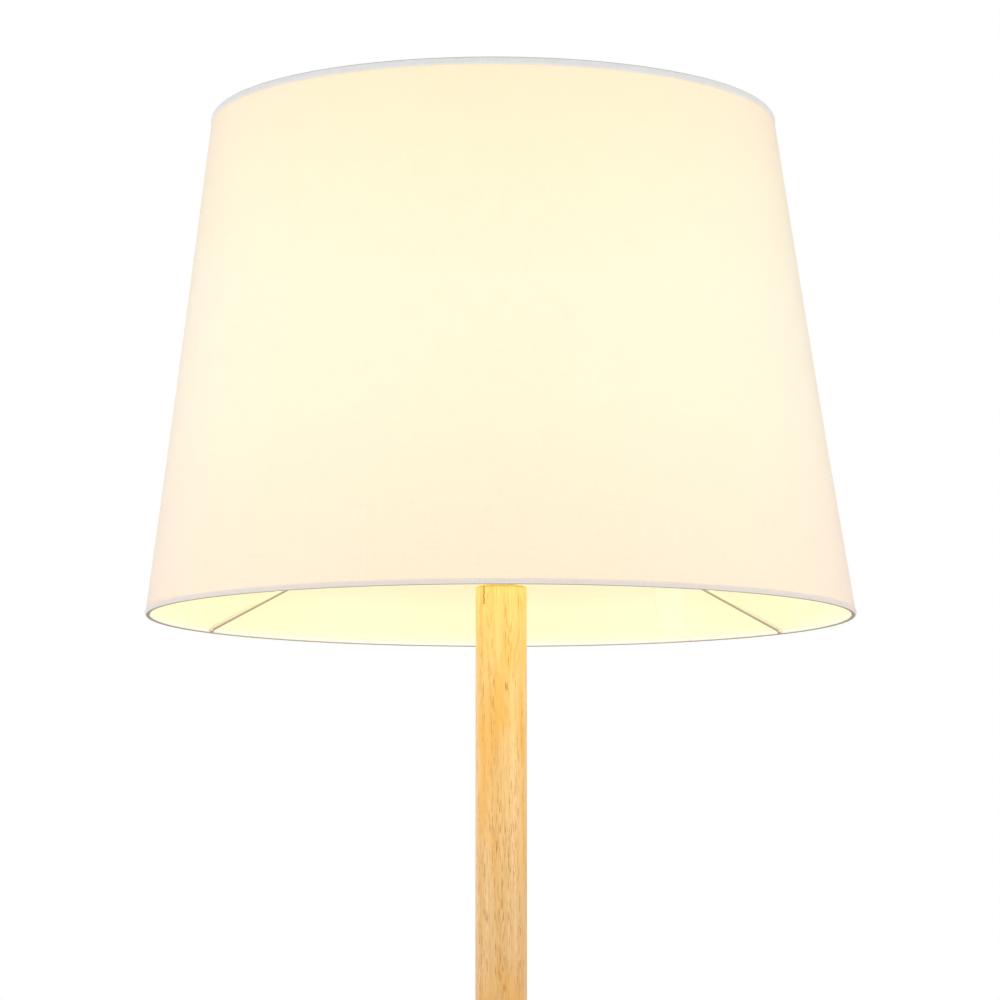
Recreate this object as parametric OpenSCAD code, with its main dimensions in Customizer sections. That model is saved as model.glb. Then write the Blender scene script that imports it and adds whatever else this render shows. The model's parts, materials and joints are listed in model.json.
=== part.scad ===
// Floor lamp: a tapered drum shade on a round wooden post, carried by three folding wooden legs.
// All sizes are in millimetres and angles in degrees. +Z is up, the floor is z = 0, the post stands
// on the Z axis and the front of the lamp faces -Y.

/* [Overall] */
// Height from the floor to the top of the shade
lamp_h = 1550; // [1450:5:1650]

/* [Shade] */
// Outer diameter of the shade at its lower rim
shade_bottom_d = 416; // [400:2:440]
// Outer diameter of the shade at its upper rim
shade_top_d = 334; // [300:2:360]
// Height of the shade, from rim to rim
shade_h = 297; // [260:1:320]
// Thickness of the linen cover
cover_t = 0.6; // [0.4:0.1:1]
// Thickness of the lining film
lining_t = 0.4; // [0.2:0.1:0.6]
// Diameter of the rolled hem
hem_d = 3.6; // [3.2:0.2:5]
// Diameter of the rim wires inside the hems
rim_wire_d = 2.4; // [1.8:0.2:2.8]

/* [Shade fitter] */
// Diameter of the three spokes
spoke_d = 3; // [3:0.5:5]
// Rise of a spoke above the horizontal
spoke_rise = 22; // [18:0.5:26]
// Azimuths of the spokes
spoke_azimuths = [31.5, 151.5, 271.5];
// Outer diameter of the centre ring
fitter_ring_d = 58; // [54:1:64]
// Thickness of the centre ring
fitter_ring_t = 2; // [1.5:0.5:3]

/* [Post] */
// Diameter of the post
post_d = 30; // [28:1:34]
// Diameter of the cord's bore through the post
post_bore_d = 10; // [9:0.5:12]
// Length of the lower section of the post
lower_post_h = 368; // [300:2:420]

/* [Hub] */
// Diameter of the turned hub
hub_d = 80; // [80:1:90]
// Height of the hub
hub_h = 70; // [70:1:80]
// Height of the leg pivots above the floor
pivot_z = 518; // [450:2:560]
// Distance of the leg pivots from the lamp's axis
pivot_r = 26; // [26:0.5:28]
// Width of the slots that the legs fold in
slot_w = 16; // [16:0.5:18]

/* [Legs] */
// Lean of an open leg from the vertical
splay = 18; // [14:0.5:18]
// Azimuths of the legs
leg_azimuths = [90, 210, 330];
// Diameter of a leg at its shoulder
leg_top_d = 30; // [28:1:30]
// Diameter of a leg at its foot
leg_foot_d = 20; // [18:1:24]
// Thickness of the tongue that turns in the hub
tongue_t = 14; // [12:0.5:14]

/* [Lamp holder] */
// Diameter of the holder's cap
holder_d = 41; // [40:0.5:44]
// Height of the holder's cap
holder_cap_h = 30; // [30:1:34]
// Outer diameter of the threaded skirt
skirt_d = 39.5; // [39:0.1:40]
// Height of the threaded skirt
skirt_h = 26; // [24:1:30]

/* [Bulb] */
// Diameter of the bulb's globe
globe_d = 60; // [55:1:65]
// Length of the bulb from its tip to the top of the globe
bulb_h = 112; // [105:1:120]

/* [Hidden] */
$fn = 96;
eps = 0.01;

// Shade
rim_z = lamp_h - shade_h;
hem_r = hem_d / 2;
hem_proud = 0.5;
// Outer radius of the shade's fabric at a height above the lower rim
function shade_r(h) = (shade_bottom_d + (shade_top_d - shade_bottom_d) * h / shade_h) / 2;
// Radius of the circle that a hem is centred on, at a height above the lower rim
function hem_centre_r(h) = shade_r(h) + hem_proud - hem_r;

// Shade fitter: each spoke slopes down from the centre ring to a knee, then drops to the rim wire
spoke_tail = 2.4;
spoke_tail_drop = 55;
spoke_knee_d = spoke_d + 0.4;
spoke_end = [hem_centre_r(hem_r) - 2.25, hem_r / 2];
spoke_knee = spoke_end + spoke_tail * [-cos(spoke_tail_drop), sin(spoke_tail_drop)];
spoke_root_r = fitter_ring_d / 2 - spoke_d / 2;
fitter_up = spoke_knee[1] + (spoke_knee[0] - spoke_root_r) * tan(spoke_rise);
fitter_z = rim_z + fitter_up - fitter_ring_t / 2;
fitter_hole_d = skirt_d + 0.8;

// Lamp holder, from the shade fitter down to the top of the post
flange_d = 45;
flange_t = 2;
rest_gap = 0.2;
holder_wall = 1.8;
holder_floor_t = 2;
nut_well_d = 24;
split_z = fitter_z - rest_gap - flange_t;
holder_z = split_z - holder_cap_h;
holder_neck_d = 16;
holder_neck_h = 7;
neck_tube_h = 19.5;
post_washer_d = 22;
post_washer_t = 2;
post_top_z = holder_z - neck_tube_h - post_washer_t;
holder_nut_h = 3;
core_t = 4;
core_z = split_z - 2 * core_t;
shell_d = 28.4;
shell_h = 25;
shell_wall = 0.6;
terminal_x = 11;
terminal_d = 3;
terminal_head_h = 2;
switch_z = split_z - 13;
switch_shaft_d = 5;
switch_clearance = 0.1;
switch_y = 3;
shaft_y = 8.4;
shaft_l = 20;
running_clearance = 0.16;

// Bulb
bulb_cap_d = 26;
bulb_cap_h = 21;
bulb_tip_z = split_z - core_t + 1.3;
globe_z = bulb_tip_z + bulb_h - globe_d / 2;
globe_seat = 14;
globe_wall = 1.2;
housing_top_z = globe_z - globe_seat;
tip_t = 2;
insulator_h = 3;
cap_z = bulb_tip_z + tip_t + insulator_h;
housing_z = cap_z + bulb_cap_h;
housing_top_r = sqrt(pow(globe_d / 2, 2) - pow(globe_seat, 2));

// Hub and post
hub_z = pivot_z - 20;
hub_neck_d = 44;
hub_straight_h = 36;
hub_edge_r = 3;
hub_shoulder_r = 6;
post_socket_h = 16;
post_z = hub_z + hub_h - post_socket_h;
post_joint_z = post_z + lower_post_h;
post_chamfer = 1;
insert_d = 16;
insert_h = 18;
insert_gap = 0.2;
nipple_d = 10;
nipple_bore_d = 7.5;
nut_af = 14;
nut_d = nut_af / cos(30);
hub_recess_d = 19;
hub_recess_h = 10;
washer_t = 1;
hub_nut_h = 4;
bushing_d = 15;
bushing_drop = 8;
bushing_h = 13;
cord_hole_d = 7;

// Legs
tongue_w = 26;
tongue_r = 13.2;
slot_clearance = 0.5;
shoulder_drop = 27;
foot_rubber_t = 9;
foot_wall = 1.5;
foot_cup_h = 12;
floor_drop = pivot_z / cos(splay);
leg_end_drop = floor_drop - foot_rubber_t;
pivot_bolt_d = 6;
pivot_bore_d = pivot_bolt_d + 0.12;
bolt_head_d = 10;
bolt_head_h = 3;
bolt_recess_d = 12;
bolt_head_out = 25;
washer_gap = 0.3;
foot_screw_d = 3.6;
foot_screw_h = 24;
foot_head_d = 7;
foot_recess_d = 8.4;
foot_ledge_t = 2;

wood = [0.87, 0.71, 0.50];
linen = [0.97, 0.95, 0.88];
white_coat = [0.95, 0.93, 0.90];
steel = [0.72, 0.73, 0.74];
brass = [0.80, 0.66, 0.36];
white_plastic = [0.93, 0.93, 0.91];
black_rubber = [0.12, 0.12, 0.12];

// ---- shared shapes ----

// Points along an arc of an ellipse, from one angle to the other
function arc(centre, rx, ry, from, to, steps = 8) = [
    for (i = [0:steps])
        let (a = from + (to - from) * i / steps)
            centre + [rx * cos(a), ry * sin(a)]
];

module at_height(z) {
    translate([0, 0, z]) children();
}

module tube(outer_d, inner_d, h) {
    difference() {
        cylinder(d = outer_d, h = h);
        translate([0, 0, -1]) cylinder(d = inner_d, h = h + 2);
    }
}

// A straight round bar with both ends chamfered
module chamfered_bar(d, h, chamfer) {
    rotate_extrude() polygon([
        [0, 0], [d / 2 - chamfer, 0], [d / 2, chamfer],
        [d / 2, h - chamfer], [d / 2 - chamfer, h], [0, h]
    ]);
}

module hex_nut(d, hole_d, h) {
    difference() {
        cylinder(d = d, h = h, $fn = 6);
        translate([0, 0, -1]) cylinder(d = hole_d, h = h + 2);
    }
}

// A cone of fabric or film between two heights above the lower rim, set in from the outer face
module shade_cone(inset, t, low, high) {
    rotate_extrude($fn = 256) polygon([
        [shade_r(low) - inset, low],
        [shade_r(high) - inset, high],
        [shade_r(high) - inset - t, high],
        [shade_r(low) - inset - t, low]
    ]);
}

// ---- shade ----

module shade_cover() {
    color(linen) at_height(rim_z) shade_cone(0, cover_t, hem_d, shade_h - hem_d);
}

module shade_lining() {
    color("ivory") at_height(rim_z) shade_cone(cover_t, lining_t, hem_d, shade_h - hem_d);
}

// The fabric rolled round a rim wire, centred at a height above the lower rim
module hem(h) {
    color(white_coat) at_height(rim_z + h)
        rotate_extrude($fn = 256) translate([hem_centre_r(h), 0]) difference() {
            circle(d = hem_d, $fn = 32);
            circle(d = rim_wire_d, $fn = 32);
        }
}

module rim_wire(h) {
    color(steel) at_height(rim_z + h)
        rotate_extrude($fn = 256) translate([hem_centre_r(h), 0]) circle(d = rim_wire_d, $fn = 32);
}

// One spoke: a slope from the centre ring, a rounded knee and a short tail at the lower rim
module spoke() {
    slope_l = norm(spoke_knee - [spoke_root_r, fitter_up]);
    translate([spoke_root_r, 0, fitter_up]) rotate([0, 90 + spoke_rise, 0])
        cylinder(d = spoke_d, h = slope_l, $fn = 32);
    translate([spoke_knee[0], 0, spoke_knee[1]]) {
        sphere(d = spoke_knee_d, $fn = 32);
        rotate([0, 90 + spoke_tail_drop, 0]) cylinder(d = spoke_d, h = spoke_tail, $fn = 32);
    }
}

module shade_fitter() {
    color(white_coat) difference() {
        union() {
            at_height(fitter_z) cylinder(d = fitter_ring_d, h = fitter_ring_t);
            for (azimuth = spoke_azimuths)
                at_height(rim_z) rotate([0, 0, azimuth]) spoke();
        }
        at_height(fitter_z - 5) cylinder(d = fitter_hole_d, h = 10);
    }
}

// The knurled ring that screws down on the shade fitter
module shade_ring() {
    ring_d = 56;
    ring_h = 8;
    grooves = 24;
    color(white_plastic) at_height(fitter_z + fitter_ring_t + rest_gap) difference() {
        chamfered_bar(ring_d, ring_h, 1);
        translate([0, 0, -1]) cylinder(d = skirt_d + running_clearance, h = ring_h + 2);
        for (i = [0:grooves - 1])
            rotate([0, 0, i * 360 / grooves]) translate([ring_d / 2 + 0.4, 0, -1])
                cylinder(d = 3, h = ring_h + 2, $fn = 16);
    }
}

// ---- bulb ----

module bulb_globe() {
    color("white", 0.8) at_height(globe_z) difference() {
        sphere(d = globe_d);
        sphere(d = globe_d - 2 * globe_wall);
        translate([0, 0, -globe_seat - globe_d]) cylinder(d = globe_d + 2, h = globe_d);
    }
}

module bulb_led_board() {
    board_d = 44;
    board_t = 1.2;
    emitters = 8;
    emitter = [3, 3, 0.8];
    emitter_r = 16;
    color("gainsboro") at_height(housing_top_z + rest_gap) union() {
        cylinder(d = board_d, h = board_t);
        for (i = [0:emitters - 1])
            rotate([0, 0, i * 360 / emitters]) translate([emitter_r, -emitter[1] / 2, board_t - eps])
                cube(emitter);
    }
}

module bulb_housing() {
    low_r = 14;
    neck_h = 6;
    wall = 1.6;
    height = housing_top_z - housing_z;
    flare = arc([low_r, height], housing_top_r - low_r, height - neck_h, -90, 0);
    inner_flare = arc([low_r, height], housing_top_r - low_r - wall, height - neck_h - wall, -90, 0);
    color(white_plastic) at_height(housing_z) difference() {
        rotate_extrude() polygon(concat([[0, 0], [low_r, 0]], flare, [[0, height]]));
        rotate_extrude() polygon(concat(
            [[0, wall], [low_r - wall, wall], [low_r - wall, neck_h + wall]],
            inner_flare,
            [[housing_top_r - wall, height + 1], [0, height + 1]]
        ));
    }
}

module bulb_screw_cap() {
    color(steel) at_height(cap_z) tube(bulb_cap_d, bulb_cap_d - 1, bulb_cap_h);
}

module bulb_insulator() {
    color("black") at_height(bulb_tip_z + tip_t)
        cylinder(d1 = 11, d2 = bulb_cap_d - 2, h = insulator_h);
}

module bulb_tip() {
    color(brass) at_height(bulb_tip_z) cylinder(d = 9, h = tip_t);
}

// ---- lamp holder ----

module holder_body() {
    color(white_plastic) at_height(split_z) difference() {
        union() {
            cylinder(d = flange_d, h = flange_t);
            cylinder(d = skirt_d, h = flange_t + skirt_h);
        }
        translate([0, 0, -1]) cylinder(d = skirt_d - 2 * holder_wall, h = flange_t + skirt_h + 2);
    }
}

module holder_cap() {
    neck_r = holder_neck_d / 2;
    neck_h = holder_neck_h;
    bell_h = 5;
    bell_z = neck_h - holder_floor_t;
    holder_r = holder_d / 2;
    color(white_plastic) at_height(holder_z) difference() {
        rotate_extrude() polygon(concat(
            [[0, 0], [neck_r, 0], [neck_r, bell_z]],
            arc([neck_r, bell_z + bell_h], holder_r - neck_r, bell_h, -90, 0),
            [[holder_r, holder_cap_h], [0, holder_cap_h]]
        ));
        translate([0, 0, bell_z + bell_h]) cylinder(r = holder_r - holder_wall, h = holder_cap_h);
        translate([0, 0, neck_h]) cylinder(d = nut_well_d, h = bell_h);
        translate([0, 0, -1]) cylinder(d = nipple_d, h = neck_h + 2);
        translate([0, 0, switch_z - holder_z]) rotate([-90, 0, 0])
            cylinder(d = switch_shaft_d + 2 * switch_clearance, h = holder_d);
    }
}

module socket_core() {
    color("ivory") at_height(core_z) difference() {
        cylinder(d = holder_d - 2 * holder_wall, h = core_t);
        for (side = [-1, 1])
            translate([side * terminal_x, 0, -1]) cylinder(d = terminal_d, h = core_t + 2);
    }
}

module socket_shell() {
    color(brass) at_height(core_z + core_t) tube(shell_d, shell_d - 2 * shell_wall, shell_h);
}

module centre_contact() {
    color(brass) at_height(core_z + core_t) cylinder(d = 7, h = 1);
}

module terminal_screws() {
    color(steel) for (side = [-1, 1])
        translate([side * terminal_x, 0, core_z - terminal_head_h]) union() {
            cylinder(d = 5, h = terminal_head_h);
            cylinder(d = terminal_d, h = terminal_head_h + core_t);
        }
}

// The switch inside the holder, with a blind hole that its shaft turns in
module switch_body() {
    body = [14, 13, 9];
    color("dimgray") difference() {
        translate([-body[0] / 2, switch_y, switch_z - body[2] / 2]) cube(body);
        translate([0, switch_y + 5, switch_z]) rotate([-90, 0, 0])
            cylinder(d = switch_shaft_d + 2 * switch_clearance, h = body[1]);
    }
}

module switch_shaft() {
    color(steel) translate([0, shaft_y, switch_z]) rotate([-90, 0, 0])
        cylinder(d = switch_shaft_d, h = shaft_l);
}

module switch_knob() {
    knob_d = 14;
    knob_h = 10;
    knob_y = holder_d / 2 + 3.5;
    grooves = 12;
    color("black") translate([0, knob_y, switch_z]) rotate([-90, 0, 0]) difference() {
        chamfered_bar(knob_d, knob_h, 0.8);
        translate([0, 0, -1]) cylinder(d = switch_shaft_d, h = shaft_y + shaft_l - knob_y + 1);
        for (i = [0:grooves - 1])
            rotate([0, 0, i * 360 / grooves]) translate([knob_d / 2 + 0.3, 0, -1])
                cylinder(d = 1.8, h = knob_h + 2, $fn = 16);
    }
}

// ---- post ----

module nipple(low, high) {
    color(steel) at_height(low) tube(nipple_d, nipple_bore_d, high - low);
}

module hub_nipple() {
    nipple(hub_z - 1, post_z + insert_h - 2);
}

module middle_nipple() {
    nipple(post_joint_z - insert_h + 1, post_joint_z + insert_h - 1);
}

module top_nipple() {
    nipple(post_top_z - insert_h + 1, holder_z + holder_neck_h + holder_nut_h + 1);
}

module holder_nut() {
    color(steel) at_height(holder_z + holder_neck_h) hex_nut(nut_d, nipple_d, holder_nut_h);
}

// The tube that holds the lamp holder clear of the post, round the top nipple
module neck_tube() {
    color(white_coat) at_height(holder_z - neck_tube_h) tube(holder_neck_d, nipple_d, neck_tube_h);
}

module post_washer() {
    color(white_coat) at_height(post_top_z) difference() {
        chamfered_bar(post_washer_d, post_washer_t, 0.5);
        translate([0, 0, -1]) cylinder(d = nipple_d, h = post_washer_t + 2);
    }
}

// A section of the post, bored for the cord and counterbored for its threaded inserts
module post_section(low, high) {
    h = high - low;
    color(wood) at_height(low) difference() {
        chamfered_bar(post_d, h, post_chamfer);
        translate([0, 0, -1]) cylinder(d = post_bore_d, h = h + 2);
        translate([0, 0, -1]) cylinder(d = insert_d, h = insert_h + 1);
        translate([0, 0, h - insert_h]) cylinder(d = insert_d, h = insert_h + 1);
    }
}

module threaded_inserts() {
    lows = [post_z, post_joint_z - insert_h, post_joint_z, post_top_z - insert_h];
    color(brass) for (low = lows)
        at_height(low + (low == post_joint_z ? insert_gap : 0))
            tube(insert_d, nipple_d, insert_h - insert_gap);
}

// ---- hub ----

// The slot that a leg turns in, open below and outwards, drawn round its pivot
module leg_slot() {
    reach = tongue_r + slot_clearance;
    translate([-reach, -slot_w / 2, -hub_h]) cube([hub_d, slot_w, hub_h + reach]);
}

// The hole for a pivot bolt, with a recess at each end for its head and its nut
module pivot_hole() {
    rotate([90, 0, 0]) cylinder(d = pivot_bolt_d, h = 2 * hub_d, center = true);
    for (turn = [0, 180])
        rotate([0, 0, turn]) translate([0, bolt_head_out - bolt_head_h, 0]) rotate([-90, 0, 0])
            cylinder(d = bolt_recess_d, h = hub_d);
}

module at_pivot(azimuth) {
    rotate([0, 0, azimuth]) translate([pivot_r, 0, pivot_z]) children();
}

module hub() {
    hub_r = hub_d / 2;
    neck_r = hub_neck_d / 2;
    edge = arc([hub_r - hub_edge_r, hub_edge_r], hub_edge_r, hub_edge_r, -90, 0, 4);
    shoulder = arc([hub_r - hub_shoulder_r, hub_straight_h], hub_shoulder_r, hub_shoulder_r, 0, 90, 4);
    cove_w = hub_r - hub_shoulder_r - neck_r;
    cove_h = hub_h - hub_straight_h - hub_shoulder_r - 6;
    cove_top = hub_straight_h + hub_shoulder_r + cove_h;
    cove = arc([neck_r + cove_w, cove_top], cove_w, cove_h, 270, 180);
    bead = arc([neck_r - 2, hub_h - 2], 2, 2, 0, 90, 4);
    color(wood) difference() {
        at_height(hub_z)
            rotate_extrude() polygon(concat([[0, 0]], edge, shoulder, cove, bead, [[0, hub_h]]));
        for (azimuth = leg_azimuths) {
            at_pivot(azimuth) leg_slot();
            at_pivot(azimuth) pivot_hole();
        }
        at_height(post_z) cylinder(d = post_d, h = hub_h);
        at_height(hub_z - 1) cylinder(d = nipple_d, h = hub_h);
        at_height(hub_z - 1) cylinder(d = hub_recess_d, h = hub_recess_h + 1);
    }
}

module hub_washer() {
    color(steel) at_height(hub_z + hub_recess_h - washer_t)
        tube(hub_recess_d - 1, nipple_d, washer_t);
}

module hub_nut() {
    color(steel) at_height(hub_z + hub_recess_h - washer_t - hub_nut_h)
        hex_nut(nut_d, nipple_d, hub_nut_h);
}

// The plastic bushing on the end of the hub's nipple, through which the cord enters
module cord_bushing() {
    cavity_h = bushing_h - bushing_drop + 1;
    color("black") at_height(hub_z - bushing_drop) difference() {
        chamfered_bar(bushing_d, bushing_h, 1);
        translate([0, 0, -1]) cylinder(d = cord_hole_d, h = bushing_h + 2);
        translate([0, 0, bushing_h - cavity_h]) cylinder(d = nipple_d, h = cavity_h + 1);
    }
}

module pivot_bolts() {
    color(steel) for (azimuth = leg_azimuths) at_pivot(azimuth) rotate([-90, 0, 0]) difference() {
        union() {
            translate([0, 0, -bolt_head_out]) cylinder(d = bolt_head_d, h = bolt_head_h);
            translate([0, 0, -bolt_head_out + bolt_head_h])
                cylinder(d = pivot_bolt_d, h = 2 * bolt_head_out - 4);
        }
        translate([0, 0, -bolt_head_out - 1]) cylinder(d = 4.6, h = 3, $fn = 6);
    }
}

module pivot_nuts() {
    color(steel) for (azimuth = leg_azimuths) at_pivot(azimuth) rotate([-90, 0, 0])
        translate([0, 0, bolt_head_out - bolt_head_h]) hex_nut(11, pivot_bolt_d, bolt_head_h);
}

module pivot_washers() {
    washer_d = 16;
    t = (slot_w - tongue_t) / 2 - washer_gap;
    color("ivory") for (azimuth = leg_azimuths, turn = [0, 180])
        at_pivot(azimuth) rotate([0, 0, turn]) translate([0, slot_w / 2 - t, 0]) rotate([-90, 0, 0])
            tube(washer_d, pivot_bolt_d, t);
}

// ---- legs ----

// Places a leg's own shape, which hangs down from its pivot, in the hub
module as_open_leg(azimuth) {
    at_pivot(azimuth) rotate([0, -splay, 0]) children();
}

module leg(azimuth) {
    shank_l = leg_end_drop - shoulder_drop;
    color(wood) as_open_leg(azimuth) difference() {
        union() {
            translate([0, tongue_t / 2, 0]) rotate([90, 0, 0]) linear_extrude(tongue_t) union() {
                circle(r = tongue_r);
                translate([-tongue_w / 2, -shoulder_drop - 5]) square([tongue_w, shoulder_drop + 5]);
            }
            translate([0, 0, -leg_end_drop]) rotate_extrude() polygon([
                [0, 0], [leg_foot_d / 2, 0],
                [leg_top_d / 2, shank_l - 2], [leg_top_d / 2 - 1.5, shank_l], [0, shank_l]
            ]);
        }
        rotate([90, 0, 0]) cylinder(d = pivot_bore_d, h = 2 * tongue_t, center = true);
        translate([0, 0, -leg_end_drop - 1])
            cylinder(d = foot_screw_d, h = foot_screw_h - foot_ledge_t + 1);
    }
}

// A rubber cup on the end of a leg, cut level with the floor
module foot(azimuth) {
    foot_d = leg_foot_d + 2 * foot_wall;
    taper = (leg_top_d - leg_foot_d) / (leg_end_drop - shoulder_drop - 2);
    color(black_rubber) difference() {
        as_open_leg(azimuth) translate([0, 0, -leg_end_drop]) difference() {
            translate([0, 0, -2 * foot_rubber_t])
                cylinder(d = foot_d, h = foot_cup_h + 2 * foot_rubber_t);
            cylinder(d1 = leg_foot_d, d2 = leg_foot_d + taper * (foot_cup_h + 1), h = foot_cup_h + 1);
            translate([0, 0, -foot_ledge_t - 1]) cylinder(d = foot_screw_d, h = foot_ledge_t + 2);
            translate([0, 0, -3 * foot_rubber_t])
                cylinder(d = foot_recess_d, h = 3 * foot_rubber_t - foot_ledge_t);
        }
        translate([-lamp_h, -lamp_h, -lamp_h]) cube([2 * lamp_h, 2 * lamp_h, lamp_h]);
    }
}

module foot_screw(azimuth) {
    color(steel) as_open_leg(azimuth) translate([0, 0, -leg_end_drop - foot_ledge_t]) union() {
        translate([0, 0, -2.4]) cylinder(d = foot_head_d, h = 2.4);
        cylinder(d = foot_screw_d, h = foot_screw_h);
    }
}

shade_cover();
shade_lining();
hem(shade_h - hem_r);  // top_hem
hem(hem_r);  // bottom_hem
rim_wire(shade_h - hem_r);  // top_ring_wire
rim_wire(hem_r);  // bottom_ring_wire
shade_fitter();
shade_ring();
bulb_globe();
bulb_led_board();
bulb_housing();
bulb_screw_cap();
bulb_insulator();
bulb_tip();
holder_body();
holder_cap();
socket_core();
socket_shell();
centre_contact();
terminal_screws();
switch_body();
switch_shaft();
switch_knob();
holder_nut();
top_nipple();
neck_tube();
post_washer();
post_section(post_joint_z, post_top_z);  // upper_post
middle_nipple();
post_section(post_z, post_joint_z);  // lower_post
threaded_inserts();
hub_nipple();
hub();
hub_washer();
hub_nut();
cord_bushing();
pivot_bolts();
pivot_nuts();
pivot_washers();
leg(leg_azimuths[0]);  // leg_back
leg(leg_azimuths[1]);  // leg_left
leg(leg_azimuths[2]);  // leg_right
foot(leg_azimuths[0]);  // foot_back
foot(leg_azimuths[1]);  // foot_left
foot(leg_azimuths[2]);  // foot_right
foot_screw(leg_azimuths[0]);  // foot_screw_back
foot_screw(leg_azimuths[1]);  // foot_screw_left
foot_screw(leg_azimuths[2]);  // foot_screw_right
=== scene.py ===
"""The looks of the floor lamp: a lit linen drum shade on a rubberwood post with three folding legs.

Every length is in metres, in the frame's own coordinates. Places and radii come from the frame's boxes.
"""
import json
import math
import random

import bpy
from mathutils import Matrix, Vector


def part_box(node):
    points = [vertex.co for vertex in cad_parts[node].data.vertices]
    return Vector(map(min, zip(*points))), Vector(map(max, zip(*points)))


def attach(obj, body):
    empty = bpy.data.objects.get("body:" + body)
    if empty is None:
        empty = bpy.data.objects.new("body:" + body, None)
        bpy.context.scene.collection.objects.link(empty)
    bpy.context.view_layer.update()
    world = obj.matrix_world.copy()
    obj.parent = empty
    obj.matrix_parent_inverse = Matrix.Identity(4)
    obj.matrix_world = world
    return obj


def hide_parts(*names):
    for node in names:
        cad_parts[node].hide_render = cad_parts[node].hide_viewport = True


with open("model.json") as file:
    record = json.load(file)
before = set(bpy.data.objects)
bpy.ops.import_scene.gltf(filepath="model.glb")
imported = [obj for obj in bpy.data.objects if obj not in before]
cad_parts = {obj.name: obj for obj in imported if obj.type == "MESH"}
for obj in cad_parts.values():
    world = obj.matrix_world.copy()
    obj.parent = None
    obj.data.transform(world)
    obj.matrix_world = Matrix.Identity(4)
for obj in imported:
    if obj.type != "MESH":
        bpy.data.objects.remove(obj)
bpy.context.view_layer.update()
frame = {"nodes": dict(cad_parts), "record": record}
random.seed(7)

# ---- places, from the frame ----

TAU = 2 * math.pi
HEM_PROUD = 0.0005
bottom_hem_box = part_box("bottom_hem")
top_hem_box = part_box("top_hem")
rim_z = bottom_hem_box[0][2]
top_z = top_hem_box[1][2]
hem_d = bottom_hem_box[1][2] - rim_z
bottom_r = bottom_hem_box[1][0] - HEM_PROUD
top_r = top_hem_box[1][0] - HEM_PROUD
globe_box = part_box("bulb_globe")
post_top_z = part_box("upper_post")[1][2]

COVER_T = 0.0006
LINING_T = 0.0004
SEAM_AZIMUTH = math.radians(54.8)
SEAM_LAP = 0.0226
SIDE_LEAN = math.radians(0.87)
OFF_CENTRE = 0.0003
# Shares of the shade's radius where its lean begins, and where it is whole
LEAN_FROM = 0.15
LEAN_WHOLE = 0.8
SPOKE_AZIMUTHS = [math.radians(a) for a in (32.5, 150.5, 271.5)]
LEG_AZIMUTHS = {"back": math.radians(90), "left": math.radians(210), "right": math.radians(330)}
LEG_SPLAY = math.radians(18)


def shade_radius(z):
    """Outer radius of the shade's fabric at height z."""
    low, high = rim_z + hem_d / 2, top_z - hem_d / 2
    return bottom_r + (top_r - bottom_r) * (z - low) / (high - low)


def hung(x, y, z):
    """A point of the shade as it hangs: a little askew on its three spokes, and true at the centre ring."""
    out = math.hypot(x, y) / bottom_r
    share = min(max((out - LEAN_FROM) / (LEAN_WHOLE - LEAN_FROM), 0.0), 1.0)
    return (x - share * (OFF_CENTRE + (z - rim_z) * math.tan(SIDE_LEAN)), y, z)


# ---- camera ----

CAMERA_DISTANCE = 2.2016
CAMERA_LEFT = 0.0007
CAMERA_BELOW_RIM = 0.1952
CAMERA_PITCH = math.radians(6.87)
CAMERA_LENS_MM = 135.4
CAMERA_SENSOR_MM = 36


def make_camera():
    """The photograph's view: from just below the shade, looking slightly up."""
    data = bpy.data.cameras.new("camera")
    data.sensor_width = CAMERA_SENSOR_MM
    data.lens = CAMERA_LENS_MM
    data.clip_end = 100
    camera = bpy.data.objects.new("camera", data)
    camera.location = (-CAMERA_LEFT, -CAMERA_DISTANCE, rim_z - CAMERA_BELOW_RIM)
    camera.rotation_euler = (math.pi / 2 + CAMERA_PITCH, 0, 0)
    bpy.context.scene.collection.objects.link(camera)
    bpy.context.scene.camera = camera


# ---- materials ----


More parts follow.
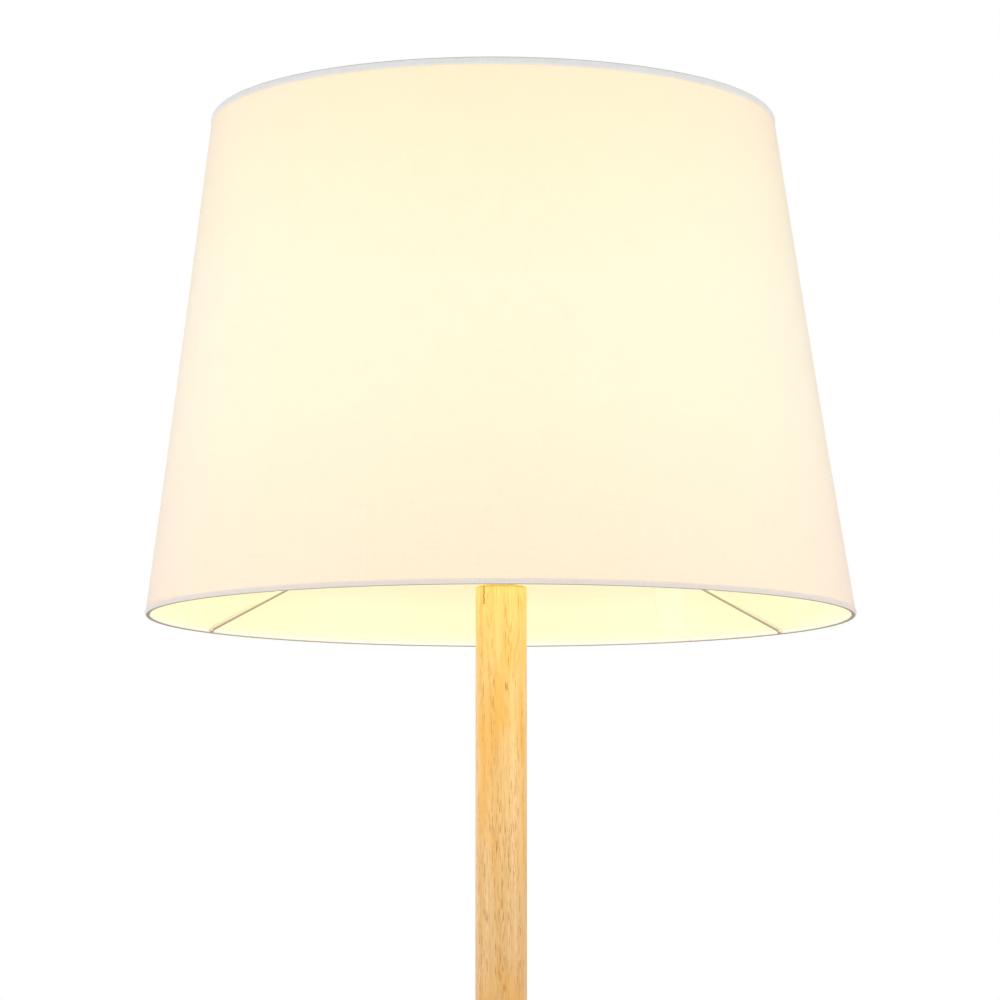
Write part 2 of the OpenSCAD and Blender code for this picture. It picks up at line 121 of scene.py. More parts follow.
class Material:
    """A node material round one Principled shader. Each method adds the nodes for one thing."""

    def __init__(self, name, colour, roughness, **constants):
        self.data = bpy.data.materials.new(name)
        self.data.use_nodes = True
        self.tree = self.data.node_tree
        self.tree.nodes.clear()
        self.output = self.node("ShaderNodeOutputMaterial")
        self.shader = self.node("ShaderNodeBsdfPrincipled")
        self.tree.links.new(self.shader.outputs["BSDF"], self.output.inputs["Surface"])
        self.set("Base Color", (*colour, 1))
        self.set("Roughness", roughness)
        for socket, value in constants.items():
            self.set(socket.replace("_", " "), value)

    def node(self, kind, **settings):
        """A new node of a kind, with its settings."""
        made = self.tree.nodes.new(kind)
        for key, value in settings.items():
            setattr(made, key, value)
        return made

    def feed(self, socket, value):
        """Links an output to a socket, or sets the socket to a constant."""
        if isinstance(value, bpy.types.NodeSocket):
            self.tree.links.new(value, socket)
        else:
            socket.default_value = value

    def set(self, socket, value):
        """Feeds one of the shader's own sockets."""
        self.feed(self.shader.inputs[socket], value)

    def place(self, scale=(1, 1, 1)):
        """The piece's own coordinates, scaled."""
        return self.mapped(self.node("ShaderNodeTexCoord").outputs["Object"], scale)

    def mapped(self, vector, scale=(1, 1, 1), rotation=(0, 0, 0)):
        """A vector turned and scaled."""
        mapping = self.node("ShaderNodeMapping")
        self.feed(mapping.inputs["Vector"], vector)
        mapping.inputs["Scale"].default_value = scale
        mapping.inputs["Rotation"].default_value = rotation
        return mapping.outputs["Vector"]

    def split(self, vector):
        """A vector's three components."""
        made = self.node("ShaderNodeSeparateXYZ")
        self.feed(made.inputs[0], vector)
        return made.outputs

    def math(self, operation, a, b=0.0):
        """The result of one sum on two numbers."""
        made = self.node("ShaderNodeMath", operation=operation)
        self.feed(made.inputs[0], a)
        self.feed(made.inputs[1], b)
        return made.outputs[0]

    def noise(self, vector, scale=1.0, detail=2.0, roughness=0.5):
        """Smooth noise from 0 to 1. Its scale, and that of the vector, are in waves per metre."""
        made = self.node("ShaderNodeTexNoise")
        self.feed(made.inputs["Vector"], vector)
        made.inputs["Scale"].default_value = scale
        made.inputs["Detail"].default_value = detail
        made.inputs["Roughness"].default_value = roughness
        return made.outputs["Fac"]

    def ramp(self, value, stops):
        """A colour ramp through (position, colour) stops."""
        made = self.node("ShaderNodeValToRGB")
        elements = made.color_ramp.elements
        while len(elements) < len(stops):
            elements.new(0.5)
        for element, (position, colour) in zip(elements, stops):
            element.position = position
            element.color = (*colour, 1)
        self.feed(made.inputs[0], value)
        return made.outputs["Color"]

    def grey_ramp(self, value, stops):
        """A ramp of plain numbers through (position, number) stops."""
        return self.ramp(value, [(position, (grey,) * 3) for position, grey in stops])

    def mix(self, factor, a, b, blend="MIX"):
        """Two colours mixed, or blended in another way. Each is a colour or an output."""
        made = self.node("ShaderNodeMix", data_type="RGBA", blend_type=blend)
        self.feed(made.inputs[0], factor)
        self.feed(made.inputs[6], a if isinstance(a, bpy.types.NodeSocket) else (*a, 1))
        self.feed(made.inputs[7], b if isinstance(b, bpy.types.NodeSocket) else (*b, 1))
        return made.outputs[2]

    def bump(self, height, distance, strength=1.0):
        """Makes the surface rise and fall with a height, by a distance in metres."""
        made = self.node("ShaderNodeBump")
        self.feed(made.inputs["Height"], height)
        made.inputs["Distance"].default_value = distance
        made.inputs["Strength"].default_value = strength
        self.set("Normal", made.outputs["Normal"])

    def mottle(self, colour, pattern, darkest, distance, strength=0.5):
        """Colours the surface, darkened a little by a fine pattern that is its bump as well."""
        tint = self.grey_ramp(pattern, [(0.3, darkest), (0.7, 1.0)])
        self.set("Base Color", self.mix(1.0, colour, tint, "MULTIPLY"))
        self.bump(pattern, distance, strength)

    def height_above_rim(self):
        """How far up the shade a point is: 0 at the lower rim, 1 at the upper rim."""
        up = self.math("SUBTRACT", self.split(self.place())["Z"], rim_z)
        return self.math("DIVIDE", up, top_z - rim_z)


THREAD_PITCH = 0.00062


def weave(material):
    """Plain linen weave over the cut's own coordinates: its threads, and their thick and thin places."""
    cut = material.node("ShaderNodeUVMap", uv_map="cut").outputs[0]
    phases = [material.math("MULTIPLY", part, TAU / THREAD_PITCH) for part in material.split(cut)[:2]]
    warp, weft = (material.math("SINE", phase) for phase in phases)
    threads = material.math("MULTIPLY", warp, weft)
    warp_slubs = material.noise(material.mapped(cut, (1100, 35, 1)), detail=1)
    weft_slubs = material.noise(material.mapped(cut, (30, 950, 1)), detail=1)
    slubs = material.math("ADD", warp_slubs, weft_slubs)
    return threads, slubs


# What the lit cover and lining send out by themselves, from the lower rim to the upper one
COVER_GLOW = [
    (0.0, (0.51, 0.365, 0.145)),
    (0.12, (0.52, 0.395, 0.16)),
    (0.35, (0.53, 0.46, 0.20)),
    (0.58, (0.53, 0.475, 0.215)),
    (0.80, (0.53, 0.455, 0.17)),
    (1.0, (0.53, 0.40, 0.125)),
]
LINING_GLOW = [
    (0.0, (0.63, 0.575, 0.42)),
    (0.025, (0.62, 0.545, 0.33)),
    (0.13, (0.62, 0.545, 0.31)),
    (0.5, (0.62, 0.54, 0.33)),
    (1.0, (0.60, 0.50, 0.31)),
]
LAP_GLOW = (0.74, 0.64, 0.42)


def linen_material():
    """Linen cover, lit from behind. Its glow is uneven where its threads are thick or thin."""
    material = Material("linen", (0.62, 0.58, 0.57), 0.9, Sheen_Weight=0.8, Sheen_Roughness=0.45)
    material.set("Sheen Tint", (1.0, 0.93, 0.92, 1))
    threads, slubs = weave(material)
    glow = material.ramp(material.height_above_rim(), COVER_GLOW)
    let_through = material.grey_ramp(material.math("MULTIPLY", slubs, 0.5), [(0.3, 0.96), (0.7, 1.04)])
    material.set("Emission Color", material.mix(1.0, glow, let_through, "MULTIPLY"))
    material.set("Emission Strength", 1.0)
    material.bump(material.math("ADD", material.math("MULTIPLY", threads, 0.3), slubs), 0.00012)
    return material.data


def lining_material():
    """Smooth film, lit from inside. It is a little paler where its two ends lap."""
    material = Material("lining_film", (0.40, 0.38, 0.34), 0.45)
    glow = material.ramp(material.height_above_rim(), LINING_GLOW)
    lap = material.node("ShaderNodeAttribute", attribute_name="lap").outputs["Fac"]
    paler = material.mix(material.math("MULTIPLY", lap, 0.35), glow, LAP_GLOW)
    material.set("Emission Color", paler)
    material.set("Emission Strength", 1.0)
    cloudy = material.noise(material.place(), scale=25, detail=3)
    material.bump(cloudy, 0.0002, 0.5)
    return material.data


# How far round the roll each of a hem's colours lies: inside, the rim's edge in painted shade, outside, and
# inside again
HEM_TURNS = (0.18, 0.24, 0.39, 0.45, 0.57, 0.69, 0.80)
HEM_INNER = (0.62, 0.60, 0.60)
# Base colour and glow of the rim's edge: painted shade
HEM_EDGE_SHADE = (0.24, 0.21, 0.13)
HEM_OUTER = (0.58, 0.58, 0.60)
HEM_INNER_GLOW = (0.52, 0.48, 0.40)
HEM_EDGE_SHADE_GLOW = (0.14, 0.10, 0.05)
# What each hem sends out on its outside, and where it joins the cover
BOTTOM_HEM_GLOWS = ((0.33, 0.28, 0.20), (0.43, 0.35, 0.22))
TOP_HEM_GLOWS = ((0.29, 0.31, 0.27), (0.43, 0.385, 0.225))


def hem_material(name, outer_glow, joined_glow):
    """Rolled linen, with painted shade at the rim's edge, and a painted glow where the roll joins the cover
    and is lit through.
    """
    material = Material(name, HEM_INNER, 0.9, Sheen_Weight=0.3, Sheen_Roughness=0.5)
    threads, slubs = weave(material)
    cut = material.node("ShaderNodeUVMap", uv_map="cut").outputs[0]
    turn = material.math("DIVIDE", material.split(cut)["Y"], TAU * hem_d / 2)
    tone = material.grey_ramp(material.math("MULTIPLY", slubs, 0.5), [(0.3, 0.92), (0.7, 1.0)])
    inner, edge = HEM_INNER_GLOW, HEM_EDGE_SHADE_GLOW
    colours = {
        "Base Color": [HEM_INNER, HEM_EDGE_SHADE, HEM_EDGE_SHADE, HEM_OUTER, HEM_OUTER, HEM_OUTER, HEM_INNER],
        "Emission Color": [inner, edge, edge, outer_glow, outer_glow, joined_glow, inner],
    }
    for socket, around in colours.items():
        shade = material.ramp(turn, list(zip(HEM_TURNS, around)))
        material.set(socket, material.mix(1.0, shade, tone, "MULTIPLY"))
    material.set("Emission Strength", 1.0)
    material.bump(material.math("ADD", material.math("MULTIPLY", threads, 0.4), slubs), 0.0002)
    return material.data


WOOD_PALE = (0.82, 0.565, 0.255)
WOOD_MID = (0.78, 0.495, 0.20)
WOOD_DARK = (0.71, 0.42, 0.145)
WOOD_WARM = (0.77, 0.415, 0.08)
PORE = (0.46, 0.17, 0.015)
POST_TOP_DARK = (0.34, 0.17, 0.03)
GRAIN_SLANT = math.radians(1.5)
# Depth of the darker band at the post's top, and the drying crack's length below the top, place and wander
POST_TOP_DARK_L = 0.0015
CRACK_L = 0.0115
CRACK_LEFT = 0.0094
CRACK_WANDER = 0.0014


def heart_figure(material, fibre):
    """How far a point lies in the warmer figure that runs up the middle of a flat-sawn face."""
    wander = material.math("MULTIPLY", material.noise(material.mapped(fibre, (20, 20, 9))), 0.010)
    fine = material.noise(material.mapped(fibre, (500, 500, 30)), detail=3)
    ragged = material.math("MULTIPLY", fine, 0.008)
    off_middle = material.math("SUBTRACT", material.math("ADD", material.split(fibre)["X"], wander), 0.006)
    reach = material.math("ADD", material.math("ABSOLUTE", off_middle), ragged)
    return material.grey_ramp(material.math("MULTIPLY", reach, 100), [(0.45, 0.9), (0.85, 0.0)])


def post_end(material):
    """Where the post is darker in a thin band at its top, or has the short drying crack below it, in front.
    """
    x, y, z = material.split(material.place())
    in_end = material.math("GREATER_THAN", z, post_top_z - POST_TOP_DARK_L)
    wander = material.math("MULTIPLY", material.noise(material.place((1, 1, 500))), CRACK_WANDER)
    off_crack = material.math("ADD", material.math("ADD", x, CRACK_LEFT), wander)
    off_mm = material.math("MULTIPLY", material.math("ABSOLUTE", off_crack), 1000)
    on_line = material.grey_ramp(off_mm, [(0.3, 1.0), (0.6, 0.0)])
    is_high = material.math("GREATER_THAN", z, post_top_z - CRACK_L)
    in_reach = material.math("MULTIPLY", is_high, material.math("LESS_THAN", y, 0.0))
    crack = material.math("MULTIPLY", on_line, in_reach)
    return material.math("MAXIMUM", material.math("MULTIPLY", in_end, 0.7), crack)


def rubberwood_material(name, azimuth=0.0, lean=0.0, offset=(0, 0, 0), cut_end=False):
    """Satin varnished rubberwood, with its grain along an axis that leans outwards at an azimuth."""
    material = Material(name, WOOD_MID, 0.45, Coat_Weight=0.2, Coat_Roughness=0.35)
    turned = material.mapped(material.place(), rotation=(0, 0, -azimuth))
    upright = material.mapped(turned, rotation=(0, lean + GRAIN_SLANT, 0))
    shifted = material.node("ShaderNodeVectorMath", operation="ADD")
    material.feed(shifted.inputs[0], upright)
    shifted.inputs[1].default_value = offset
    fibre = shifted.outputs[0]

    streaks = material.noise(material.mapped(fibre, (480, 480, 4)), detail=3, roughness=0.65)
    bands = material.noise(material.mapped(fibre, (90, 60, 6)), detail=2)
    fine, broad = material.math("MULTIPLY", streaks, 0.6), material.math("MULTIPLY", bands, 0.4)
    tone = material.math("ADD", fine, broad)
    colour = material.ramp(tone, [(0.36, WOOD_DARK), (0.5, WOOD_MID), (0.64, WOOD_PALE)])
    patches = material.noise(material.mapped(fibre, (70, 70, 18)), detail=3)
    warm = material.grey_ramp(patches, [(0.48, 0.0), (0.66, 0.8)])
    figure = material.math("MAXIMUM", warm, heart_figure(material, fibre))
    colour = material.mix(figure, colour, WOOD_WARM)

    pores = material.noise(material.mapped(fibre, (3300, 3300, 120)), detail=1, roughness=0.4)
    is_pore = material.grey_ramp(pores, [(0.58, 0.0), (0.64, 1.0)])
    rows = material.noise(material.mapped(fibre, (300, 300, 12)), detail=1)
    among = material.grey_ramp(rows, [(0.40, 0.2), (0.60, 1.0)])
    pored = material.mix(1.0, is_pore, among, "MULTIPLY")
    colour = material.mix(pored, colour, PORE)
    if cut_end:
        colour = material.mix(post_end(material), colour, POST_TOP_DARK)
    material.set("Base Color", colour)
    sunk = material.math("SUBTRACT", material.math("MULTIPLY", streaks, 0.3), is_pore)
    material.bump(sunk, 0.00003, 0.25)
    return material.data


PAINT_ROUGHNESS = 0.35
PAINT_COAT = {"Coat_Weight": 0.3, "Coat_Roughness": 0.15}
WIRE_WHITE = (0.84, 0.79, 0.66)
# Painted shade on the wire's downward side
WIRE_PAINTED_SHADE = (0.44, 0.36, 0.24)


def orange_peel(material, colour):
    """Colours a smooth coat of paint, and gives it a faint orange-peel."""
    material.mottle(colour, material.noise(material.place(), scale=900), 0.96, 0.00005)


def painted_material(name, colour):
    """A smooth coat of paint over metal."""
    material = Material(name, colour, PAINT_ROUGHNESS, **PAINT_COAT)
    orange_peel(material, colour)
    return material.data


def wire_material():
    """White coated wire, with painted shade on the side that faces down."""
    material = Material("white_wire", WIRE_WHITE, PAINT_ROUGHNESS, **PAINT_COAT)
    below = material.node("ShaderNodeAttribute", attribute_name="below").outputs["Fac"]
    # The side that faces down gets painted shade
    orange_peel(material, material.ramp(below, [(0.25, WIRE_WHITE), (0.75, WIRE_PAINTED_SHADE)]))
    return material.data


def metal_material(name, colour, roughness):
    """Turned or plated metal with fine marks round its axis."""
    material = Material(name, colour, roughness, Metallic=1.0)
    marks = material.noise(material.place((150, 150, 4000)))
    material.set("Roughness", material.math("MULTIPLY", marks, 2 * roughness))
    material.mottle(colour, marks, 0.88, 0.00004)
    return material.data


def plastic_material(name, colour, roughness, grain=700):
    """Moulded plastic or rubber with a fine grain."""
    material = Material(name, colour, roughness)
    speckle = material.noise(material.place(), scale=grain, detail=3)
    material.mottle(colour, speckle, 0.92, 0.00008, 0.6)
    return material.data


def globe_material():
    """The lit opal globe: brightest at its top, dimmer where it meets the housing."""
    material = Material("opal_globe", (0.95, 0.92, 0.84), 0.3)
    up = material.math("SUBTRACT", material.split(material.place())["Z"], globe_box[0][2])
    share = material.math("DIVIDE", up, globe_box[1][2] - globe_box[0][2])
    stops = [(0.0, (0.80, 0.62, 0.38)), (0.25, (1.0, 0.86, 0.6)), (1.0, (1.0, 0.92, 0.72))]
    material.set("Emission Color", material.ramp(share, stops))
    material.set("Emission Strength", 2.5)
    return material.data


def make_materials():
    """One material for each of the record's slots."""
    return {
        "linen": linen_material(),
        "lining_film": lining_material(),
        "hem_fabric": hem_material("hem_linen", *BOTTOM_HEM_GLOWS),
        "white_wire": wire_material(),
        "white_plastic": plastic_material("white_plastic", (0.83, 0.83, 0.80), 0.4),
        "rim_wire": metal_material("rim_wire", (0.62, 0.62, 0.62), 0.3),
        "opal_globe": globe_material(),
        "board": metal_material("board", (0.80, 0.81, 0.82), 0.35),
        "nickel": metal_material("nickel", (0.78, 0.76, 0.72), 0.2),
        "black_plastic": plastic_material("black_plastic", (0.03, 0.03, 0.03), 0.45),
        "contact_brass": metal_material("contact_brass", (0.80, 0.62, 0.30), 0.3),
        "ceramic_core": plastic_material("ceramic_core", (0.85, 0.82, 0.74), 0.25, 300),
        "zinc_steel": metal_material("zinc_steel", (0.70, 0.71, 0.72), 0.32),
        "dark_steel": metal_material("dark_steel", (0.10, 0.10, 0.10), 0.4),
        "cap_steel": painted_material("cap_steel", (0.85, 0.85, 0.83)),
        "rubberwood": rubberwood_material("rubberwood", cut_end=True),
        "insert_brass": metal_material("insert_brass", (0.78, 0.60, 0.28), 0.35),
        "nylon": plastic_material("nylon", (0.85, 0.83, 0.77), 0.5, 400),
        "foot_rubber": plastic_material("foot_rubber", (0.025, 0.025, 0.025), 0.8, 1200),
    }


def give(piece, material):
    """Puts one material in every slot of a piece, and adds a slot if there is none."""
    if not piece.material_slots:
        piece.data.materials.append(material)
    for place in piece.material_slots:
        place.material = material


PLANK_STEP = (0.013, 0.021, 0.3)


def dress_frame(materials):
    """Gives each CAD node its slot's material. Each leg's grain follows its lean and is its own."""
    for row in frame["record"]["subparts"]:
        give(frame["nodes"][row["node"]], materials[row["material_slot"]])
    for number, (side, azimuth) in enumerate(LEG_AZIMUTHS.items(), 1):
        offset = tuple(step * number for step in PLANK_STEP)
        wood = rubberwood_material(f"rubberwood_leg_{side}", azimuth, LEG_SPLAY, offset)
        give(frame["nodes"][f"leg_{side}"], wood)
    give(frame["nodes"]["hub"], rubberwood_material("rubberwood_hub", offset=(0.05, 0.03, 0.9)))
    give(frame["nodes"]["lower_post"], rubberwood_material("rubberwood_lower", offset=(0.03, 0.06, 0.5)))


# ---- pieces ----


def add_piece(name, vertices, faces, material, body, replaced, cut=None):
    """A mesh piece that rides on a body and stands for CAD nodes. cut holds each vertex's flat place."""
    mesh = bpy.data.meshes.new(name)
    mesh.from_pydata([hung(*vertex) for vertex in vertices], [], faces)
    if cut:
        layer = mesh.uv_layers.new(name="cut")
        for loop in mesh.loops:
            layer.data[loop.index].uv = cut[loop.vertex_index]
    mesh.polygons.foreach_set("use_smooth", [True] * len(mesh.polygons))
    mesh.validate()
    piece = bpy.data.objects.new(name, mesh)
    bpy.context.scene.collection.objects.link(piece)
    give(piece, material)
    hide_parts(*replaced)
    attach(piece, body)
    return piece


def point(radius, azimuth, z):
    """A point at a radius and azimuth round the lamp's axis."""
    return (radius * math.cos(azimuth), radius * math.sin(azimuth), z)


def flat_cut():
    """The cone's slant radii, from the cone's apex, and the ratio of its flat angle to its round one."""
    slant = math.hypot(bottom_r - top_r, top_z - rim_z)
    ratio = (bottom_r - top_r) / slant
    return bottom_r / ratio, top_r / ratio, ratio


def on_cut(azimuth, z):
    """Where a point of the shade lies on its flat cut, whose middle faces away from the seam."""
    outer, inner, ratio = flat_cut()
    along = outer + (inner - outer) * (z - rim_z) / (top_z - rim_z)
    turn = (azimuth - SEAM_AZIMUTH - math.pi) * ratio
    return (along * math.sin(turn), outer - along * math.cos(turn))


# Columns round the shade, and rows up it
AROUND = 360
UP = 72
# How far inside each hem a sheet ends, as a share of the hem's depth
SHEET_END = 0.55
# The lap's columns, the angle over which a sheet climbs onto itself, and the gap left between
LAP_COLUMNS = 8
LAP_RISE = 0.02
LAP_GAP = 0.0001
# How far a sheet is drawn in between its hems, and the height of the waves on it
DRAWN_IN = 0.0006
WAVE = 0.00018


def waves(turn, share):
    """Slow waves round the shade: seven broad ones, and seventeen narrow ones that drift on the way up."""
    return math.sin(7 * turn + 0.8) + 0.6 * math.sin(17 * turn + 3.1 * share)


def shade_sheet(name, inset, thickness, lap_side, material, replaced):
    """One wrapped sheet of the shade. Its ends lap at the seam: the last stretch lies on top of the first."""
    low, high = rim_z + SHEET_END * hem_d, top_z - SHEET_END * hem_d
    lap = SEAM_LAP / bottom_r
    columns = [i * TAU / AROUND for i in range(AROUND)]
    columns += [TAU + lap * i / LAP_COLUMNS for i in range(LAP_COLUMNS + 1)]
    vertices, cut, faces = [], [], []
    for turn in columns:
        azimuth = SEAM_AZIMUTH + turn
        lifted = min(max((turn - TAU) / LAP_RISE + 1, 0.0), 1.0)
        for row in range(UP + 1):
            share = row / UP
            z = low + (high - low) * share
            drawn_in = math.sin(math.pi * share) * (DRAWN_IN + WAVE * waves(turn, share))
            radius = shade_radius(z) - inset - drawn_in + lap_side * lifted * (thickness + LAP_GAP)
            vertices.append(point(radius, azimuth, z))
            cut.append(on_cut(azimuth, z))
    for column in range(len(columns) - 1):
        for row in range(UP):
            corner = column * (UP + 1) + row
            faces.append((corner, corner + UP + 1, corner + UP + 2, corner + 1))
    piece = add_piece(name, vertices, faces, material, "shade", replaced, cut)
    lapped = piece.data.attributes.new("lap", "FLOAT", "POINT")
    lapped.data.foreach_set("value", [float(turn > TAU) for turn in columns for row in range(UP + 1)])
    thick = piece.modifiers.new("thickness", "SOLIDIFY")
    thick.thickness = thickness
    thick.offset = -1
    return piece


HEM_SIDES = 24
# A roll's turn starts on its inner side, above the middle at the lower rim and below it at the upper one
HEM_START = math.radians(150)
# How far a roll swells and thins in slow waves, and at random
HEM_WAVE = 0.00007
HEM_ROUGH = 0.00003
TOP_HEM_H = 0.0062


def hem_piece(name, z_rim, inward, height, material, node, wire):
    """Fabric rolled round a rim wire. inward is +1 at the lower rim and -1 at the upper one."""
    roll_r = hem_d / 2
    centre_z = z_rim + inward * height / 2
    vertices, cut, faces = [], [], []
    for column in range(AROUND):
        azimuth = SEAM_AZIMUTH + column * TAU / AROUND
        uneven = HEM_WAVE * math.sin(9 * azimuth + 1) + random.uniform(-HEM_ROUGH, HEM_ROUGH)
        centre_r = shade_radius(centre_z) + HEM_PROUD - roll_r
        for side in range(HEM_SIDES):
            turn = TAU * side / HEM_SIDES
            radius = centre_r + (roll_r + uneven) * math.cos(HEM_START + turn)
            z = centre_z + inward * height / 2 * math.sin(HEM_START + turn)
            vertices.append(point(radius, azimuth, z))
            cut.append((azimuth * centre_r, turn * roll_r))
    for column in range(AROUND):
        here, there = column * HEM_SIDES, (column + 1) % AROUND * HEM_SIDES
        for side in range(HEM_SIDES):
            following = (side + 1) % HEM_SIDES
            face = (here + side, there + side, there + following, here + following)
            faces.append(face if inward > 0 else face[::-1])
    return add_piece(name, vertices, faces, material, "shade", (node, wire), cut)


def swept(path, radius, sides=16):
    """Vertices and faces of a closed round bar along a path of points in one upright plane."""
    vertices, faces = [], []
    normal = Vector((0, 1, 0))
    for index, here in enumerate(path):
        before, after = path[max(index - 1, 0)], path[min(index + 1, len(path) - 1)]
        tangent = (after - before).normalized()
        across = normal.cross(tangent)
        for side in range(sides):
            angle = TAU * side / sides
            vertices.append(here + radius * (math.cos(angle) * across + math.sin(angle) * normal))
    for index in range(len(path) - 1):
        for side in range(sides):
            a, b = index * sides + side, index * sides + (side + 1) % sides
            faces.append((a, b, b + sides, a + sides))
    faces.append(tuple(range(sides - 1, -1, -1)))
    faces.append(tuple(range(len(vertices) - sides, len(vertices))))
    return vertices, faces


FITTER_RING_R = 0.029
FITTER_HOLE_R = 0.02015
FITTER_T = 0.002
FITTER_EDGE = 0.0003
FITTER_GAP = 0.0002
SPOKE_R = 0.0015
SPOKE_INSET = 0.00225
SPOKE_RISE = math.radians(22)
KNEE_BEND_R = 0.003
TAIL_DROP = math.radians(55)
TAIL_L = 0.0024
# Steps along a spoke's straight run, and round a small bend or a rounded edge
RUN_STEPS = 24
BEND_STEPS = 8


def spoke_path():
    """A spoke's centre line in the XZ plane, from the centre ring to its welded end at the rim wire."""
    hem_centre_r = shade_radius(rim_z + hem_d / 2) + HEM_PROUD - hem_d / 2
    end = Vector((hem_centre_r - SPOKE_INSET, 0, rim_z + hem_d / 4))
    knee = end + TAIL_L * Vector((-math.cos(TAIL_DROP), 0, math.sin(TAIL_DROP)))
    ring_r = FITTER_RING_R - SPOKE_R
    root = Vector((ring_r, 0, knee.z + (knee.x - ring_r) * math.tan(SPOKE_RISE)))
    reach = KNEE_BEND_R * math.tan((TAIL_DROP - SPOKE_RISE) / 2)
    start = knee + (root - knee).normalized() * reach
    stop = knee + (end - knee).normalized() * reach
    run = [root.lerp(start, i / RUN_STEPS) for i in range(RUN_STEPS)]
    shares = [i / BEND_STEPS for i in range(BEND_STEPS + 1)]
    bend = [start.lerp(knee, share).lerp(knee.lerp(stop, share), share) for share in shares]
    return run + bend + [end]


def fitter_piece(material):
    """The shade's carrier: a pressed centre ring and three welded spokes of coated wire."""
    vertices, faces = [], []

    def take(more_vertices, more_faces):
        base = len(vertices)
        vertices.extend(more_vertices)
        faces.extend(tuple(base + i for i in face) for face in more_faces)

    bar, bar_faces = swept(spoke_path(), SPOKE_R)
    for azimuth in SPOKE_AZIMUTHS:
        cos, sin = math.cos(azimuth), math.sin(azimuth)
        take([(v.x * cos - v.y * sin, v.x * sin + v.y * cos, v.z) for v in bar], bar_faces)
    take(*ring_solid(fitter_profile()))
    piece = add_piece("shade_wirework", vertices, faces, material, "shade", ("shade_fitter",))
    # How far each vertex faces down, for the wire's painted shade
    below = piece.data.attributes.new("below", "FLOAT", "POINT")
    below.data.foreach_set("value", [max(-vertex.normal.z, 0.0) for vertex in piece.data.vertices])
    return piece


def fitter_profile():
    """Outline of the pressed centre ring, flat with a rounded edge, as (radius, height) points."""
    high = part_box("shade_ring")[0][2] - FITTER_GAP
    low = high - FITTER_T
    edge_r = FITTER_T / 2
    below = [(FITTER_HOLE_R, low + FITTER_EDGE), (FITTER_HOLE_R + FITTER_EDGE, low)]
    rounded = [
        (FITTER_RING_R - edge_r + edge_r * math.sin(a), low + edge_r - edge_r * math.cos(a))
        for a in (math.pi * i / BEND_STEPS for i in range(BEND_STEPS + 1))
    ]
    above = [(FITTER_HOLE_R + FITTER_EDGE, high), (FITTER_HOLE_R, high - FITTER_EDGE)]
    return below + rounded + above


def ring_solid(profile, around=96):
    """A closed solid of revolution round the Z axis from a closed outline that runs anticlockwise."""
    vertices, faces = [], []
    count = len(profile)
    for column in range(around):
        azimuth = TAU * column / around
        vertices.extend(point(radius, azimuth, z) for radius, z in profile)
    for column in range(around):
        here, there = column * count, (column + 1) % around * count
        for k in range(count):
            following = (k + 1) % count
            faces.append((here + k, there + k, there + following, here + following))
    return vertices, faces


# ---- light and stage ----

LAMP_MIDDLE = (0, 0, 1.05)
SOFTBOX_COLOUR = (0.97, 0.93, 1.0)
FRONT_FILL_COLOUR = (1.0, 0.97, 0.93)
BULB_COLOUR = (1.0, 0.80, 0.42)
BULB_GLOW_R = 0.0315
BULB_BELOW_TOP = 0.030
MOUTH_COLOUR = (0.86, 0.97, 0.22)
MOUTH_GLOW_R = 0.17
MOUTH_ABOVE_RIM = 0.035


def add_light(name, kind, place, power, colour=(1, 1, 1)):
    """A light of so many watts at a place. An area light shines down until it is turned."""
    data = bpy.data.lights.new(name, kind)
    data.energy = power
    data.color = colour
    light = bpy.data.objects.new(name, data)
    light.location = place
    bpy.context.scene.collection.objects.link(light)
    return light


def add_softbox(name, place, target, size, power, colour=(1, 1, 1)):
    """A rectangular area light of a width and height, turned to face a target."""
    light = add_light(name, "AREA", place, power, colour)
    light.data.shape = "RECTANGLE"
    light.data.size, light.data.size_y = size
    light.rotation_euler = (Vector(target) - Vector(place)).to_track_quat("-Z", "Y").to_euler()


def make_lights():
    """Large softboxes all round, the bulb, and the light that the shade's mouth sends down."""
    for name, side, front_power, back_power in (("left", -1, 29, 13), ("right", 1, 29, 9)):
        front, back = (side * 1.79, -0.95, 1.15), (side * 1.6, 1.7, 1.3)
        add_softbox(f"{name}_softbox", front, LAMP_MIDDLE, (2.0, 2.4), front_power, SOFTBOX_COLOUR)
        add_softbox(f"{name}_back_softbox", back, LAMP_MIDDLE, (1.6, 2.2), back_power, SOFTBOX_COLOUR)
    add_softbox("overhead", (0, -0.2, 3.6), (0, 0, 0), (2.4, 2.4), 30)
    add_softbox("front_fill", (0, -2.6, 0.9), LAMP_MIDDLE, (1.2, 1.2), 8, FRONT_FILL_COLOUR)
    bulb = add_light("bulb_light", "POINT", (0, 0, globe_box[1][2] - BULB_BELOW_TOP), 2.0, BULB_COLOUR)
    bulb.data.shadow_soft_size = BULB_GLOW_R
    mouth = add_light("mouth_glow", "AREA", (0, 0, rim_z + MOUTH_ABOVE_RIM), 0.43, MOUTH_COLOUR)
    mouth.data.shape = "DISK"
    mouth.data.size = 2 * MOUTH_GLOW_R
    mouth.visible_camera = False


SURROUND_STRENGTH = 0.16
BACKDROP_STRENGTH = 1.0


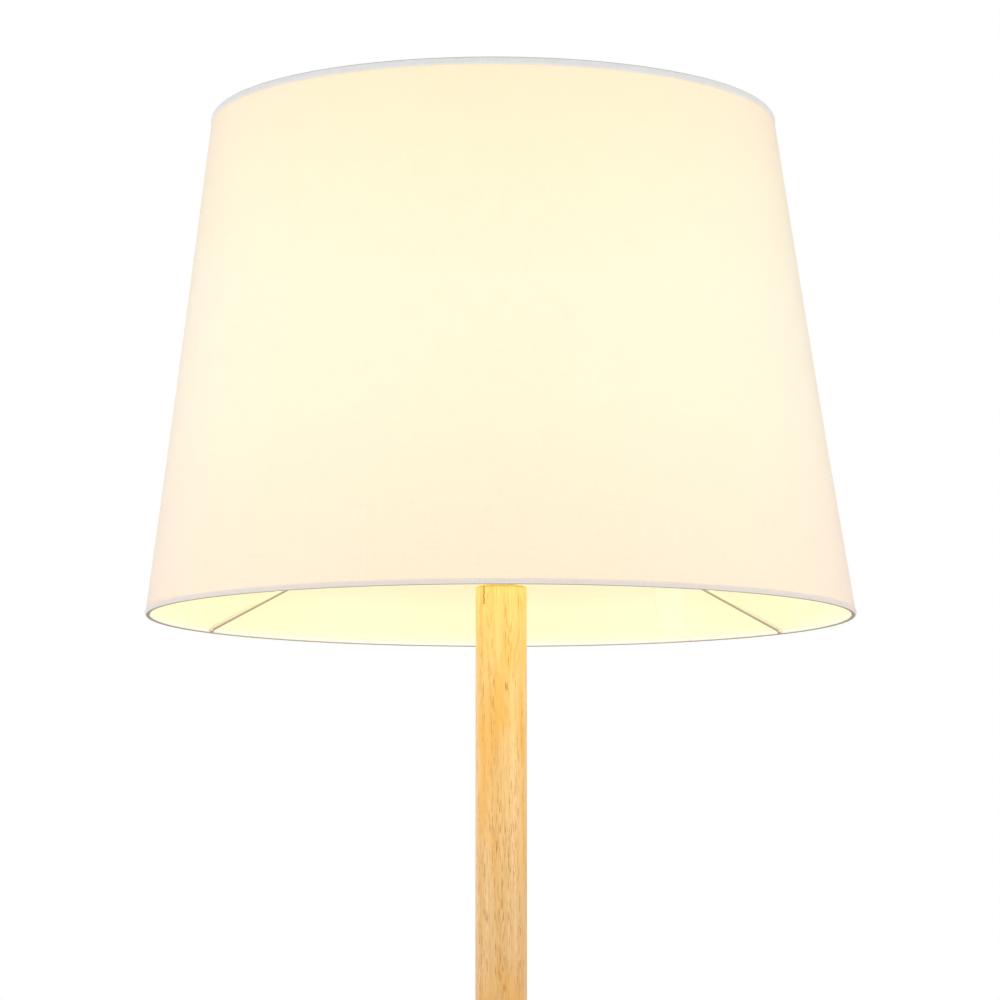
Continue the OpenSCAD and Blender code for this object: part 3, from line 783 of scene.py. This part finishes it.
def make_world():
    """White behind the lamp, and a dimmer even light from all round."""
    world = bpy.data.worlds.new("studio")
    bpy.context.scene.world = world
    world.use_nodes = True
    tree = world.node_tree
    tree.nodes.clear()
    output = tree.nodes.new("ShaderNodeOutputWorld")
    mix = tree.nodes.new("ShaderNodeMixShader")
    path = tree.nodes.new("ShaderNodeLightPath")
    tree.links.new(path.outputs["Is Camera Ray"], mix.inputs[0])
    for place, strength in ((1, SURROUND_STRENGTH), (2, BACKDROP_STRENGTH)):
        white = tree.nodes.new("ShaderNodeBackground")
        white.inputs["Color"].default_value = (1, 1, 1, 1)
        white.inputs["Strength"].default_value = strength
        tree.links.new(white.outputs[0], mix.inputs[place])
    tree.links.new(mix.outputs[0], output.inputs["Surface"])


FLOOR_FADE_R = 2.0
FLOOR_HALF_SIDE = 8.0


def make_floor():
    """A pale floor round the lamp, which fades into the white background."""
    material = Material("pale_floor", (0.86, 0.86, 0.85), 0.7)
    grain = material.noise(material.place(), scale=40, detail=4)
    material.set("Base Color", material.ramp(grain, [(0.3, (0.84, 0.84, 0.83)), (0.7, (0.88, 0.88, 0.87))]))
    away = material.node("ShaderNodeVectorMath", operation="LENGTH")
    material.feed(away.inputs[0], material.node("ShaderNodeTexCoord").outputs["Object"])
    share = material.math("DIVIDE", away.outputs["Value"], FLOOR_FADE_R)
    seen = material.node("ShaderNodeLightPath").outputs["Is Camera Ray"]
    fade = material.math("MULTIPLY", material.grey_ramp(share, [(0.3, 0.0), (1.0, 1.0)]), seen)
    mix = material.node("ShaderNodeMixShader")
    material.feed(mix.inputs[0], fade)
    material.feed(mix.inputs[1], material.shader.outputs[0])
    material.feed(mix.inputs[2], material.node("ShaderNodeEmission").outputs[0])
    material.feed(material.output.inputs["Surface"], mix.outputs[0])
    mesh = bpy.data.meshes.new("floor")
    corners = [(FLOOR_HALF_SIDE * x, FLOOR_HALF_SIDE * y, 0) for x, y in ((-1, -1), (1, -1), (1, 1), (-1, 1))]
    mesh.from_pydata(corners, [], [(0, 1, 2, 3)])
    floor = bpy.data.objects.new("floor", mesh)
    bpy.context.scene.collection.objects.link(floor)
    give(floor, material.data)


# ---- the scene ----

make_camera()
materials = make_materials()
dress_frame(materials)

lining = shade_sheet(
    "shade_lining_film", COVER_T, LINING_T, -1, materials["lining_film"], ("shade_lining",))
cover = shade_sheet(
    "shade_linen", 0.0, COVER_T, 1, materials["linen"], ("shade_cover",))
top_hem_linen = hem_material("top_hem_linen", *TOP_HEM_GLOWS)
hems = [
    hem_piece("bottom_hem_roll", rim_z, 1, hem_d, materials["hem_fabric"], "bottom_hem", "bottom_ring_wire"),
    hem_piece("top_hem_roll", top_z, -1, TOP_HEM_H, top_hem_linen, "top_hem", "top_ring_wire"),
]
fitter_piece(materials["white_wire"])

make_lights()
make_world()
make_floor()
bpy.context.scene.view_settings.view_transform = "Standard"
